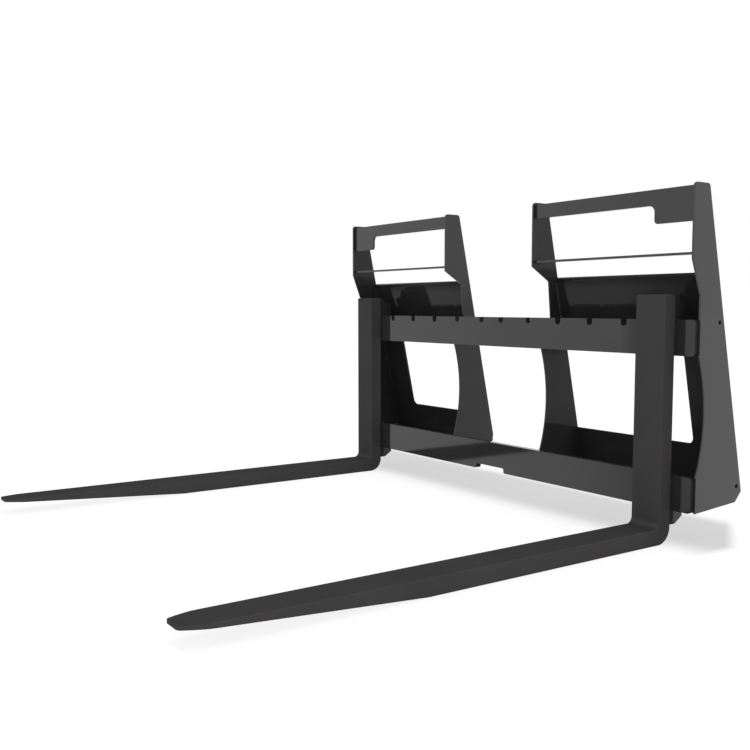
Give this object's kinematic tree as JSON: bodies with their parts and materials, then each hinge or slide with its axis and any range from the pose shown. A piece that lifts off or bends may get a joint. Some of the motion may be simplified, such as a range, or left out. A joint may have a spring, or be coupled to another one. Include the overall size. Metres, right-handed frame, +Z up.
{
  "type": "pallet fork attachment",
  "caption": "Walk-through pallet fork carriage for a skid-steer coupler: notched rails, towers with folded coupler plates, and sliding hook-on forks.",
  "frame": {"origin": "middle of the underside of the overall box, at the level of the flat undersides of the fork blades; X = 0 is midway between the towers", "axes": "+Z up; +Y back towards the machine, the forks pointing to -Y; +X to the right of a person who faces the carriage from the fork tips"},
  "size_m": [1.277, 1.2742, 0.758],
  "materials": {
    "frame_paint": "gloss",
    "fork_paint": "satin",
    "pin_steel": "zinc plated"
  },
  "bodies": {
    "frame": {"top_rail": "frame_paint", "bottom_rail": "frame_paint", "outer_plate_right": "frame_paint", "outer_plate_left": "frame_paint", "inner_plate_right": "frame_paint", "inner_plate_left": "frame_paint", "header_right": "frame_paint", "header_left": "frame_paint", "guard_bar_right": "frame_paint", "guard_bar_left": "frame_paint", "mount_plate_right": "frame_paint", "mount_plate_left": "frame_paint"},
    "fork_right": {"fork_right": "fork_paint", "top_hook_right": "fork_paint", "bottom_hook_right": "fork_paint"},
    "lock_pin_right": {"lock_pin_right": "pin_steel", "pin_knob_right": "pin_steel"},
    "fork_left": {"fork_left": "fork_paint", "top_hook_left": "fork_paint", "bottom_hook_left": "fork_paint"},
    "lock_pin_left": {"lock_pin_left": "pin_steel", "pin_knob_left": "pin_steel"}
  },
  "joints": [
    {"name": "fork_right_slide", "type": "slide", "parent": "frame", "child": "fork_right", "axis": [-1, 0, 0], "range_m": [0, 0.508]},
    {"name": "lock_pin_right_lift", "type": "slide", "parent": "fork_right", "child": "lock_pin_right", "axis": [0, 0, 1], "range_m": [-0.016, 0]},
    {"name": "fork_left_slide", "type": "slide", "parent": "frame", "child": "fork_left", "axis": [1, 0, 0], "range_m": [0, 0.508]},
    {"name": "lock_pin_left_lift", "type": "slide", "parent": "fork_left", "child": "lock_pin_left", "axis": [0, 0, 1], "range_m": [-0.016, 0]}
  ]
}
